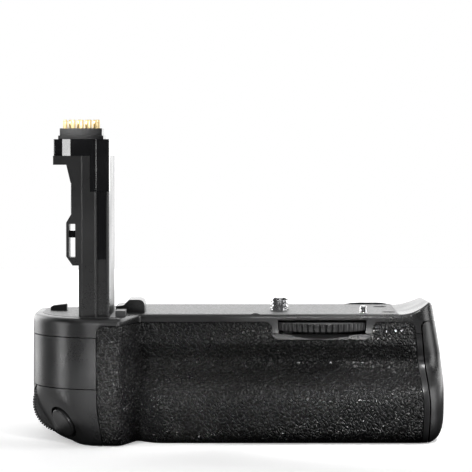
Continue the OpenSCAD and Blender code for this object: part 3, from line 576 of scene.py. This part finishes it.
# one loft from station to station; d draws it in
def bodyLoft(d=0.0, detail="fine"):
    if (d, detail) in lofts:
        return lofts[d, detail].copy()
    grade = loftSet[detail]
    rings = []
    for x in stations(grade):
        leftShare = ease(0, body["leftDraw"], x - body["left"])
        rightShare = ease(body["right"] - body["rightDraw"], body["right"], x)
        shift = d * (1 - leftShare - rightShare)
        ring = []
        for y, z in section(x, d, grade["bend"], grade["flank"]):
            spot = Vector((x + shift - leanShift(z) * ease(*body["leanSpan"], x + shift), y, z))
            ring.append(spot if d else facetCut(spot))
        rings.append(ring + ring[:1])
    bm = bmesh.new()
    across = len(rings[0])
    bmesh.ops.create_grid(bm, x_segments=across - 1, y_segments=len(rings) - 1, size=1)
    bm.verts.ensure_lookup_table()
    for i, ring in enumerate(rings):
        for j, point in enumerate(ring):
            bm.verts[i * across + j].co = point
    bmesh.ops.remove_doubles(bm, verts=bm.verts, dist=shapeSet["seal"])
    bmesh.ops.holes_fill(bm, edges=bm.edges, sides=0)
    bmesh.ops.recalc_face_normals(bm, faces=bm.faces)
    lofts[d, detail] = bm
    return bm.copy()


# clamp wheel: its place, how far it stands out of its window, and its ribs
wheelSet = {"x": 14.0443, "y": -13.6, "z": 36.9, "radius": 16.0, "out": 7.6, "room": 0.6,
            "lip": 5.2, "bore": 2.06, "ribs": 48, "deep": 0.75,
            "levels": ((0.45, 0.4), (0.8, 0), (3.05, 0), (3.4, 0.4)),
            "rib": ((-0.5, 1), (-0.38, 0.3), (-0.24, 0.04), (0, 0), (0.24, 0.04), (0.38, 0.3))}
windowR = wheelSet["radius"] + wheelSet["room"]
lipW = 2 * math.sqrt(windowR ** 2 - (wheelSet["radius"] - wheelSet["out"]) ** 2) + wheelSet["lip"]
lipL, lipR = wheelSet["x"] - lipW / 2, wheelSet["x"] + lipW / 2
lipZ = body["partZ"] - 2

# front-view outlines of the mouldings; low and far lie outside the body
lineSet = {"capIn": 5.2, "capUp": 4.0, "capLean": 0.09, "capFoot": 1.0, "capRound": 2.0, "capPast": 20.0,
           "controlPast": 9.0, "rubberLeft": -61.0, "rubberUp": 3.9, "rubberBack": -14.0, "rubberRound": 2.4,
           "rubberGap": 2.4, "rubberFoot": 3.2, "seamLean": ((3.0, -9), (1.4, 5), (0.3, 12)),
           "controlBack": 12.0, "thumbFront": 10.0, "thumbRound": 5.0, "low": -9, "far": 70}
capX, capTop = body["right"] - lineSet["capIn"], body["partZ"] + lineSet["capUp"]
rubberX, rubberTop = capX - lineSet["rubberGap"], body["partZ"] + lineSet["rubberUp"]
pastLeft, pastRight = body["left"] - lineSet["controlPast"], body["right"] + lineSet["capPast"]
seamLine = [(lineSet["rubberLeft"] + x, z) for x, z in lineSet["seamLean"]]
seamLine += [(lineSet["rubberLeft"], body["controlZ"])]
capLine = [(capX - lineSet["capLean"] * (capTop - body["seamZ"]), capTop), (capX, body["seamZ"]),
           (capX - lineSet["capFoot"], lineSet["low"]), (pastRight, lineSet["low"]), (pastRight, capTop)]
controlLine = [(pastLeft, lineSet["low"])] + seamLine + [(pastLeft, body["controlZ"])]
rubberLine = [(lineSet["rubberLeft"], rubberTop)] + seamLine[::-1]
rubberLine += [(capX - lineSet["rubberFoot"], lineSet["low"]), (rubberX, body["seamZ"]),
               (rubberX - lineSet["capLean"] * (rubberTop - body["seamZ"]), rubberTop),
               (lipR, rubberTop), (lipR, lipZ), (lipL, lipZ), (lipL, rubberTop)]
thumbLine = [(-67, 8), (-43, 8), (-45, shoulderZ - 3), (-64, shoulderZ - 3)]


def capPrism(gap):
    return prism(capLine, -lineSet["far"], lineSet["far"], gap, lineSet["capRound"])


def controlPrism(back, gap):
    return prism(controlLine, -lineSet["far"], back, gap)


def rubberPrism(gap, back):
    return prism(rubberLine, -lineSet["far"], back, gap, lineSet["rubberRound"])


def thumbPrism(gap):
    return prism(thumbLine, lineSet["thumbFront"], lineSet["far"], gap, lineSet["thumbRound"])


def rubberBed(shape):
    shape = carve(shape, carve(rubberPrism(half, lineSet["rubberBack"]), bodyLoft(bedInset)))
    return carve(shape, carve(thumbPrism(half), bodyLoft(bedInset)))


# deck plate: its outline, holes and pockets
deckSet = {"noseIn": 3.0, "noseSteps": 20, "valleySteps": 18, "frontIn": 1.6, "blockIn": 3.0, "rearIn": 1.8,
           "screws": ((35.6, 15.5), (37.1, -10.3)), "pin": (28.4, -12.2), "clampHole": 3.375, "pinHole": 1.67,
           "screwHole": 1.25, "screwHead": 2.35, "soften": 0.12, "through": (30, 60),
           "pockets": {"hook": ((-78.95, -2.05), (-73.15, 2.05)), "hinge": ((-55.85, -13.65), (-45.95, 0.45)),
                       "catch": ((-55.15, -31.55), (-51.65, -22.45)),
                       "tower": ((-67.3, -33.1), (-56.9, 3.1))}}


def deckInset(x):
    aslant = mix(1, stretch(x), ease(body["ridgeX"] - 6, body["ridgeX"], x))
    return mix(deckSet["frontIn"], deckSet["blockIn"], blockShare(x)) * aslant


def deckLine(gap):
    steps = deckSet["noseSteps"]
    nose = [body["noseRun"] * (1 - math.cos(math.pi / 2 * i / steps)) for i in range(steps + 1)]
    xs = [body["left"] + deckSet["noseIn"] + run for run in nose]
    xs += [body["ridgeX"] + 1 + 0.5 * i for i in range(deckSet["valleySteps"])] + [body["deckEndX"]]
    front, rear = [], []
    for x in xs:
        at = x - deckSet["noseIn"] * ease(body["ridgeX"], body["left"], x)
        rim = frontY(at, body["deckFront"] + bendSet["rimOut"], bendSet["rimDraft"])
        front.append((x, deckInset(at) - rim))
        rear.append((x, deckRearY(at) - deckSet["rearIn"]))
    return grown(front + rear[::-1], gap)


# shells: rods are (radius, low, high), blocks two corners
shellSet = {
    "panel": ((-5.1, -13.85, -20), (5.1, 13.85, 20), 2.1), "panelX": -76.3, "panelZ": 21.2, "panelTurn": 28,
    "base": ((-44, -12, -1), (40, 24, 1.6), 6, 16), "tripod": (5.6, -1, 9), "dialSpot": (-73, -19.3, 13.4),
    "dialRoom": (11.0, -3.0, 3.0), "deckEdge": 1.5, "latchRoom": ((47.8, -4), (50.6, 4)),
    "latchRise": (-1, 2.4), "nub": (2.5, -0.5, 0.5), "nubX": -8.4, "nubTop": ((-12, -22), (-5, -18)),
    "past": (200, 100), "under": -50, "over": 99, "above": 60, "boards": ((-70.5, -16.2, 5.1), (0, 60, 60)),
    "ring": (6.1, -3, 9), "seat": (6.45, -4.45, -1.2), "stem": (2.1, -7.0, -4.4), "roundSteps": 96,
    "windowSteps": 128, "stemSteps": 48,
}
sideways = Matrix.Rotation(math.radians(90), 4, "X")
dialAt = Matrix.Translation(shellSet["dialSpot"]) @ sideways
panelSpot = (shellSet["panelX"], rearY(shellSet["panelX"]), shellSet["panelZ"])
panelAt = Matrix.Translation(panelSpot) @ Matrix.Rotation(math.radians(shellSet["panelTurn"]), 4, "Z")
panelAt = panelAt @ Matrix.Rotation(math.radians(-90), 4, "X")
wheelAxis = Matrix.Translation((wheelSet["x"], wheelSet["y"], 0))
nubAt = Matrix.Translation((shellSet["nubX"], -body["deckFront"], body["rimZ"] - 2)) @ sideways


def slab(low, high, right=shellSet["past"][0]):
    x, y = shellSet["past"]
    return block((-x, -y, low), (right, y, high))


def dialRoom():
    return rod(*shellSet["dialRoom"], dialAt, shellSet["roundSteps"])


shell = carve(bodyLoft(), slab(body["partZ"] - half, shellSet["over"]))
shell = carve(shell, bodyLoft(body["wall"], "coarse"))
shell = carve(shell, capPrism(body["seam"]))
shell = carve(shell, controlPrism(lineSet["controlBack"] + body["seam"], half))
shell = rubberBed(shell)
shell = carve(shell, turned(roundBlock(*shellSet["panel"]), panelAt))
shell = carve(shell, roundBlock(*shellSet["base"]))
shell = carve(shell, rod(*shellSet["tripod"]))
shell = carve(shell, dialRoom())
finished("lowerShell", shell, "lower_housing")
print("lower shell")

shell = carve(bodyLoft(), slab(shellSet["under"], body["partZ"] + half))
inside = slab(0, body["deckLow"], body["deckEndX"] - shellSet["deckEdge"])
shell = carve(shell, carve(bodyLoft(body["wall"] + 2, "coarse"), inside, "INTERSECT"))
shell = carve(shell, plate(deckLine(body["fit"]), body["deckLow"] - 0.01, shellSet["above"]))
shell = carve(shell, capPrism(body["seam"]))
shell = rubberBed(shell)
shell = carve(shell, rod(windowR, 0, body["deckZ"] - 2, wheelAxis, shellSet["windowSteps"]))
low, high = shellSet["latchRoom"]
down, up = shellSet["latchRise"]
shell = carve(shell, block((*low, capTop + down), (*high, capTop + up)))
low, high = deckSet["pockets"]["catch"]
shell = carve(shell, block((*low, body["deckLow"] - 0.01), (*high, shellSet["above"])))
low, high = shellSet["nubTop"]
nubTop = block((*low, body["rimZ"] - 1), (*high, shellSet["above"]))
nub = carve(rod(*shellSet["nub"], nubAt), nubTop, "INTERSECT")
finished("upperShell", carve(shell, nub, "UNION"), "upper_housing")
print("upper shell")

shell = carve(bodyLoft(), controlPrism(lineSet["controlBack"], -half), "INTERSECT")
shell = carve(shell, block(*shellSet["boards"]))
shell = carve(shell, dialRoom())
shell = carve(shell, rod(*shellSet["ring"], facetAt, shellSet["roundSteps"]))
shell = carve(shell, rod(*shellSet["seat"], facetAt, shellSet["roundSteps"]))
shell = carve(shell, rod(*shellSet["stem"], facetAt, shellSet["stemSteps"]))  # room for the pressed stem
finished("controlShell", shell, "control_housing")
print("control shell")


def rubberSkin(outline):
    return carve(carve(bodyLoft(), bodyLoft(body["rubber"])), outline, "INTERSECT")


finished("frontRubber", rubberSkin(rubberPrism(-half, lineSet["rubberBack"] - body["seam"])), "front_rubber")
finished("thumbRubber", rubberSkin(thumbPrism(-half)), "rear_rubber")
print("rubber")

# tray cap with room for the tray, its latch and the tongue
capSet = {"rooms": (((0, -14.25, 7.15), (49.55, 26.05, 30.7)), ((48, -3.1, 32.4), (50.1, 3.1, 60)),
                    ((49, -2.1, 32.4), (99, 2.1, 39)))}
cap = carve(bodyLoft(), capPrism(-half), "INTERSECT")
for low, high in capSet["rooms"]:
    cap = carve(cap, block(low, high))
finished("trayCap", cap, "magazine_cap")
print("tray cap")

deck = plate(deckLine(0), body["deckLow"], body["deckZ"])
low, high = deckSet["through"]
for nearCorner, farCorner in deckSet["pockets"].values():
    deck = carve(deck, block((*nearCorner, low), (*farCorner, high)))
deck = carve(deck, rod(deckSet["clampHole"], low, high))
deck = carve(deck, rod(deckSet["pinHole"], low, high, Matrix.Translation((*deckSet["pin"], 0))))
for spot in deckSet["screws"]:
    screwAt = Matrix.Translation((*spot, 0))
    deck = carve(deck, rod(deckSet["screwHole"], low, high, screwAt, 32))
    deck = carve(deck, rod(deckSet["screwHead"], body["deckZ"] - 1, high, screwAt))
finished("deckPlate", deck, "top_deck", deckSet["soften"])
print("deck plate")

# clamp screw: a revolved shank and a thread wound up it
screwSet = {"radius": 3.175, "root": 2.42, "pitch": 1.27, "start": 42.35, "turns": 4, "top": 47.4,
            "steps": 40, "foot": 30.9, "journal": 2.5, "collar": 4.4, "collarLow": 40.6, "collarTop": 41.3,
            "neck": 2.875, "neckTop": 43.05, "rootLow": 43.2, "chamfer": 0.35, "threadLow": 43.06,
            "threadEnd": 0.2, "threadRoom": 4, "sunk": 0.3, "ridge": (0.0, 0.06, 0.53, 0.70, 1.17, 1.23)}


def revolved(profile, place=Matrix(), steps=64):
    bm = bmesh.new()
    verts = [bm.verts.new((r, 0, z)) for r, z in profile]
    edges = [bm.edges.new(pair) for pair in zip(verts, verts[1:])]
    bmesh.ops.spin(bm, geom=verts + edges, axis=(0, 0, 1), cent=(0, 0, 0), dvec=(0, 0, 0),
                   angle=2 * math.pi, steps=steps, use_merge=True)
    bmesh.ops.remove_doubles(bm, verts=bm.verts, dist=shapeSet["seal"])
    bmesh.ops.recalc_face_normals(bm, faces=bm.faces)
    return turned(bm, place)


def woundThread(settings):
    bm = bmesh.new()
    out, root, steps = settings["radius"], settings["root"], settings["steps"]
    sunk = root - settings["sunk"]
    ridge = zip((sunk, root, out, out, root, sunk), settings["ridge"])
    face = bm.faces.new([bm.verts.new((r, 0, settings["start"] + z)) for r, z in ridge])
    bmesh.ops.spin(bm, geom=[face], axis=(0, 0, 1), cent=(0, 0, 0), dvec=(0, 0, settings["pitch"] / steps),
                   angle=2 * math.pi * settings["turns"], steps=steps * settings["turns"], use_merge=False)
    bmesh.ops.recalc_face_normals(bm, faces=bm.faces)
    return bm


foot, top, root = screwSet["foot"], screwSet["top"], screwSet["root"]
journal, collar, neck = screwSet["journal"], screwSet["collar"], screwSet["neck"]
collarLow, collarTop, chamfer = screwSet["collarLow"], screwSet["collarTop"], screwSet["chamfer"]
shaft = revolved([(0, foot), (journal, foot), (journal, collarLow), (collar, collarLow), (collar, collarTop),
                  (neck, collarTop), (neck, screwSet["neckTop"]), (root, screwSet["rootLow"]),
                  (root, top - chamfer), (root - chamfer, top), (0, top)])
trimmed = rod(screwSet["threadRoom"], screwSet["threadLow"], top - screwSet["threadEnd"], segments=32)
threads = carve(woundThread(screwSet), trimmed, "INTERSECT")
finished("clampScrewThreaded", carve(shaft, threads, "UNION"), "clamp_screw", smooth=30)
print("clamp screw")

# shutter button with a dished face, in its sleeve
buttonSet = {"radius": 5.1, "rise": 0.8, "edge": 0.55, "under": -2.6, "stem": 1.6, "foot": -4.4, "seat": -2.3,
             "dish": ((3.9, 0.04), (3.0, 0.14), (1.8, 0.22), (0, 0.26)), "sleeve": 6.4, "play": 0.1,
             "soften": 0.1, "steps": 96}
rimR, rimZ = buttonSet["radius"] - buttonSet["edge"], buttonSet["rise"] - buttonSet["edge"]
arc = [math.radians(15 * i) for i in range(7)]
profile = [(0, buttonSet["foot"]), (buttonSet["stem"], buttonSet["foot"])]
profile += [(buttonSet["stem"], buttonSet["under"]), (buttonSet["radius"], buttonSet["under"])]
profile += [(rimR + buttonSet["edge"] * math.cos(a), rimZ + buttonSet["edge"] * math.sin(a)) for a in arc]
profile += [(r, buttonSet["rise"] - down) for r, down in buttonSet["dish"]]
finished("shutterButton", revolved(profile, facetAt, buttonSet["steps"]), "shutter_button")
sleeve = rod(buttonSet["sleeve"], buttonSet["foot"], buttonSet["seat"], facetAt, buttonSet["steps"])
sleeve = carve(sleeve, rod(buttonSet["radius"] + buttonSet["play"], -9, 9, facetAt, buttonSet["steps"]))
finished("shutterSleeve", sleeve, "shutter_sleeve", buttonSet["soften"])
print("shutter button")


# ribbed wheels: one ribbed outline raised through levels of (height, inset)
def ribbedDisc(settings, place):
    radius, count = settings["radius"], settings["ribs"]
    outline = []
    for i in range(count):
        for along, down in settings["rib"]:
            turn = 2 * math.pi * (i + along) / count
            outline.append((radius - settings["deep"] * down, turn))
    bm = bmesh.new()
    (z, inset), *above = settings["levels"]
    size = 1 - inset / radius
    rim = [(size * r * math.cos(a), size * r * math.sin(a), z) for r, a in outline]
    face = bm.faces.new([bm.verts.new(point) for point in rim])
    for high, inset in above:
        made = bmesh.ops.extrude_face_region(bm, geom=[face, *face.edges])["geom"]
        face = next(f for f in made if isinstance(f, bmesh.types.BMFace))
        change = (1 - inset / radius) / size
        bmesh.ops.scale(bm, vec=(change, change, 1), verts=face.verts)
        bmesh.ops.translate(bm, vec=(0, 0, high - z), verts=face.verts)
        z, size = high, size * change
    bmesh.ops.recalc_face_normals(bm, faces=bm.faces)
    return turned(bm, place)


wheelAt = Matrix.Translation((wheelSet["x"], wheelSet["y"], wheelSet["z"]))
wheel = carve(ribbedDisc(wheelSet, wheelAt), rod(wheelSet["bore"], -1, 9, wheelAt))
finished("clampWheel", wheel, "clamp_wheel", smooth=50)
dialSet = {"radius": 10.5, "ribs": 72, "deep": 0.55, "levels": ((-2.7, 0.9), (-1.9, 0), (1.9, 0), (2.7, 0.9)),
           "rib": ((-0.5, 1), (-0.28, 0), (0.28, 0)), "bore": 1.06}
dial = carve(ribbedDisc(dialSet, dialAt), rod(dialSet["bore"], -9, 9, dialAt, 32))
finished("controlDial", dial, "control_dial", smooth=30)
print("wheels")

# tower head: a polished L whose front swings back towards the outer corner
headSet = {"left": -75.6, "right": -57.0, "front": -33.0, "back": 3.0, "low": 96.4, "high": 101.9,
           "roof": 1.6, "legLeft": -63.35, "legLow": 84.55, "legBack": -27.05, "setBack": 0.6,
           "swing": ((-72.6, 2.15), (-69.8, 0)), "step": ((-61.45, 0.25), (-61.1, 0)), "facet": (1.5, 1.17),
           "noseRound": 1.0, "noseBack": 3.15, "backRound": 1.6, "hollow": ((-65.2, -30.6, 56), (-59, 0.6)),
           "wireway": ((-64.2, -21), (-61.2, -11)), "soften": 0.22}


def corner(x, y, radius, start, steps=6):
    turns = [math.radians(start + 90 * i / steps) for i in range(steps + 1)]
    return [(x + radius * math.cos(a), y + radius * math.sin(a)) for a in turns]


setBack = headSet["front"] + headSet["setBack"]
facetRun, facetBack = headSet["facet"]
frontRun = [(headSet["step"][0][0], setBack)] + [(x, headSet["front"] + y) for x, y in headSet["step"]]
frontRun += [(headSet["right"] - facetRun, headSet["front"])]
frontRun += [(headSet["right"], headSet["front"] + facetBack)]
noseRound, backRound = headSet["noseRound"], headSet["backRound"]
bandLine = corner(headSet["left"] + noseRound, setBack + headSet["noseBack"], noseRound, 180)
bandLine += [(x, setBack + y) for x, y in headSet["swing"]] + frontRun
for x, start in ((headSet["right"] - backRound, 0), (headSet["left"] + backRound, 90)):
    bandLine += corner(x, headSet["back"] - backRound, backRound, start)
legLine = [(headSet["legLeft"], headSet["legBack"]), (headSet["legLeft"], setBack)]
legLine += frontRun + [(headSet["right"], headSet["legBack"])]
leg = plate(legLine, headSet["legLow"], headSet["low"] + 1)
head = carve(plate(bandLine, headSet["low"], headSet["high"]), leg, "UNION")
low, high = headSet["hollow"]
head = carve(head, roundBlock(low, (*high, headSet["high"] - headSet["roof"]), 1))
low, high = headSet["wireway"]
head = carve(head, block((*low, headSet["low"]), (*high, 110)))
finished("towerHead", head, "tower_cap", headSet["soften"], smooth=50)
print("tower head")

# small pieces, each with the width of its broken corners
softWidths = {
    "tower_column": 0.2, "connector_base": 0.12, "contact_pins": 0.12, "door_clip": 0.12, "deck_hook": 0.2,
    "hinge_block": 0.25, "deck_catch": 0.2, "locating_pin": 0.12, "button_panel": 0.2, "focus_button": 0.15,
    "lock_button": 0.15, "point_button": 0.15, "power_slider": 0.2, "magazine_latch": 0.2, "tower_strip": 0.1,
    "deck_screws": 0.08, "base_screws": 0.08, "tripod_bush": 0.15, "base_plate": 0.2, "magazine_tray": 0.15,
}
for node, width in softWidths.items():
    softCopy(node, width)
print("small pieces:", len(softWidths))

# solids that stay as they are still take the finishes
for name, node in nodes.items():
    node.data.materials.clear()
    node.data.materials.append(finishes[slotOf[name]])

# studio: pale floor in a white room, a wall of light behind, a top softbox, side panels and small spots
studioSet = {"floorShade": 0.95, "floorGlow": 0.35, "floorRadius": 1.05, "room": 1.0}
floor = bmesh.new()
bmesh.ops.create_circle(floor, cap_ends=True, segments=96, radius=studioSet["floorRadius"])
floorMesh = bpy.data.meshes.new("studioFloor")
floor.to_mesh(floorMesh)
floor.free()
floorPiece = bpy.data.objects.new("studioFloor", floorMesh)
scene.collection.objects.link(floorPiece)
shade = studioSet["floorShade"]
paper = Paint("studioPaper", {"Base Color": (shade, shade, shade, 1), "Roughness": 0.9,
                              "Specular IOR Level": 0.2, "Emission Color": (1, 1, 1, 1),
                              "Emission Strength": studioSet["floorGlow"]})
floorMesh.materials.append(paper.material)
floorPiece.visible_glossy = floorPiece.visible_diffuse = False

world = bpy.data.worlds.new("studioWorld")
scene.world = world
world.use_nodes = True
sky = world.node_tree.nodes["Background"]
sky.inputs["Color"].default_value = (1, 1, 1, 1)
sky.inputs["Strength"].default_value = studioSet["room"]
world.cycles_visibility.diffuse = world.cycles_visibility.glossy = False
scene.view_settings.view_transform = "Standard"

lamps = {
    "backWall": {"at": (0.0, 1.1, 0.42), "aim": (0, 0, 0.40), "size": (2.8, 0.9), "shine": 2.3},
    "backLeft": {"at": (-0.95, 1.05, 0.35), "aim": (0, 0, 0.06), "size": (0.7, 1.0), "shine": 2.2},
    "topBox": {"at": (0.0, 0.02, 0.95), "aim": (0, 0, 0.03), "size": (1.1, 0.7), "shine": 0.9},
    "leftStrip": {"at": (-1.05, -0.24, 0.12), "aim": (0, 0, 0.06), "size": (0.09, 0.60), "shine": 16.0},
    "rightPanel": {"at": (1.0, -0.04, 0.30), "aim": (0, 0, 0.06), "size": (0.40, 1.0), "shine": 4.2},
    "ridgeSpot": {"at": (0.45, -0.85, 0.30), "aim": (-0.057, -0.038, 0.022),
                  "cone": 1.9, "radius": 0.012, "watts": 70.0},
    "rollSpot": {"at": (-0.45, -0.85, 0.35), "aim": (-0.042, -0.037, 0.018),
                 "cone": 2.1, "radius": 0.02, "watts": 120.0},
    "endSpot": {"at": (0.30, -0.40, 0.85), "aim": (0.036, -0.034, 0.018),
                "cone": 5.0, "radius": 0.03, "watts": 55.0},
    "headSpot": {"at": (-0.30, -0.85, 0.35), "aim": (-0.066, -0.02, 0.106),
                 "cone": 1.0, "radius": 0.005, "watts": 60.0},
    "wheelSpot": {"at": (0.10, -0.85, 0.35), "aim": (0.014, -0.025, 0.037),
                  "cone": 2.4, "radius": 0.03, "watts": 52.0},
    "frontTop": {"at": (0.0, -0.90, 0.85), "aim": (0, 0, 0.03), "size": (0.8, 0.3), "shine": 0.9},
    "frontLow": {"at": (0.0, -0.30, 0.001), "aim": (0, -0.30, 1.0), "size": (0.5, 0.4), "shine": 1.5},
    "frontFill": {"at": (-0.2, -1.9, 0.7), "aim": (0, 0, 0.05),
                  "size": (2.2, 1.4), "shine": 2.7, "soft": True},
    "floorBounce": {"at": (-0.20, 0.03, 0.001), "aim": (-0.20, 0.03, 1.0),
                    "size": (0.24, 0.30), "shine": 0.5},
}
for name, lamp in lamps.items():
    light = bpy.data.lights.new(name, "SPOT" if "cone" in lamp else "AREA")
    if "cone" in lamp:
        light.shadow_soft_size, light.energy = lamp["radius"], lamp["watts"]
        light.spot_size, light.spot_blend = math.radians(lamp["cone"]), 1.0
    else:
        light.shape, light.size, light.size_y = "RECTANGLE", *lamp["size"]
        light.energy = lamp["shine"] * math.pi * lamp["size"][0] * lamp["size"][1]
    holder = bpy.data.objects.new(name, light)
    holder.location = lamp["at"]
    holder.rotation_euler = (Vector(lamp["aim"]) - Vector(lamp["at"])).to_track_quat("-Z", "Y").to_euler()
    holder.visible_camera = False
    holder.visible_glossy = "soft" not in lamp
    scene.collection.objects.link(holder)
print("studio:", len(lamps), "lamps")
